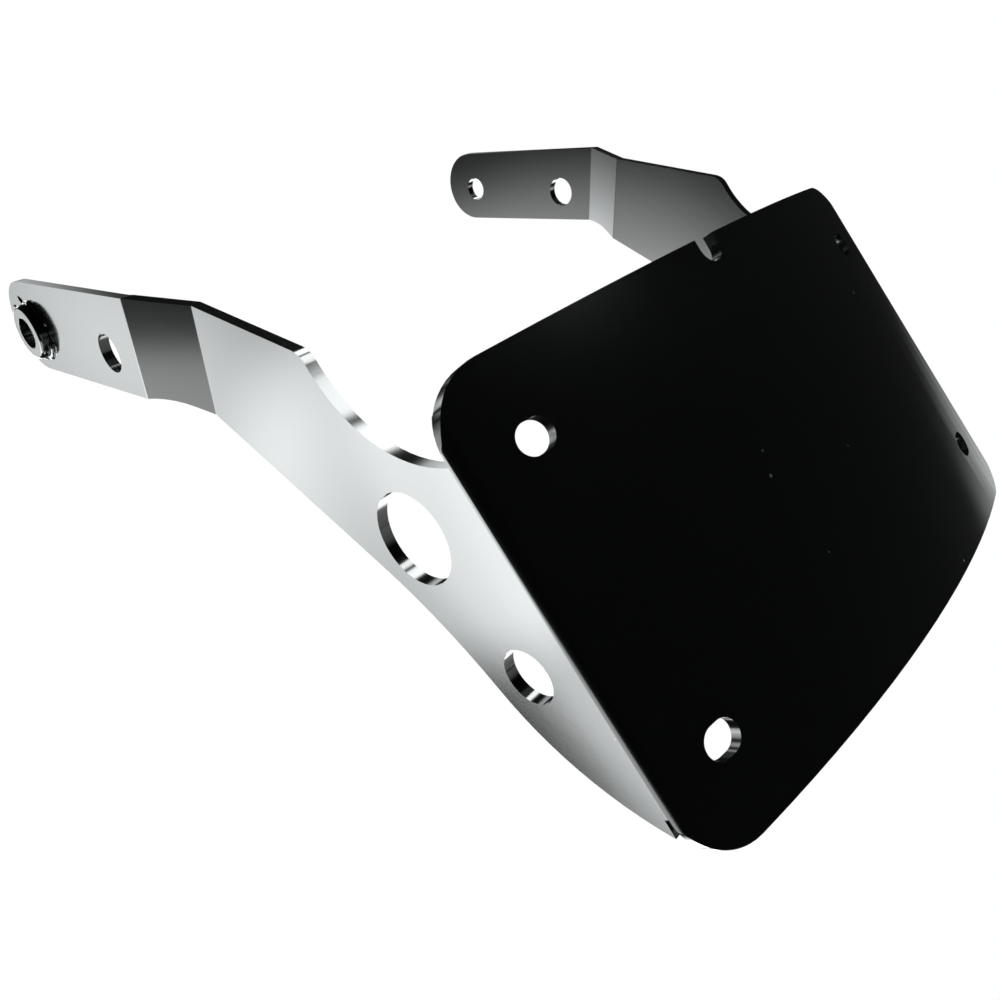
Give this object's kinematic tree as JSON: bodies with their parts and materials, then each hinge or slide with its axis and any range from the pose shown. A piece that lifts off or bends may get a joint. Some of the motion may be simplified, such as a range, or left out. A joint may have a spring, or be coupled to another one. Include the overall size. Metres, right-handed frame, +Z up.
{
  "type": "curved license plate mount",
  "caption": "Curved rear plate with slotted corners and two forward arms, folded from one sheet, that bolts to a motorbike's struts and carries a licence plate.",
  "frame": {"origin": "middle of the plate's rear, convex face, at the centre of the four plate slots", "axes": "+Z up along the plate's straight height, +Y forwards along the arms, +X to the right as seen from behind"},
  "size_m": [0.2002, 0.1551, 0.2084],
  "materials": {
    "black_coat": "satin black powder coat"
  },
  "bodies": {
    "root": {"mount_sheet": "black_coat", "left_boss": "black_coat"}
  },
  "joints": []
}
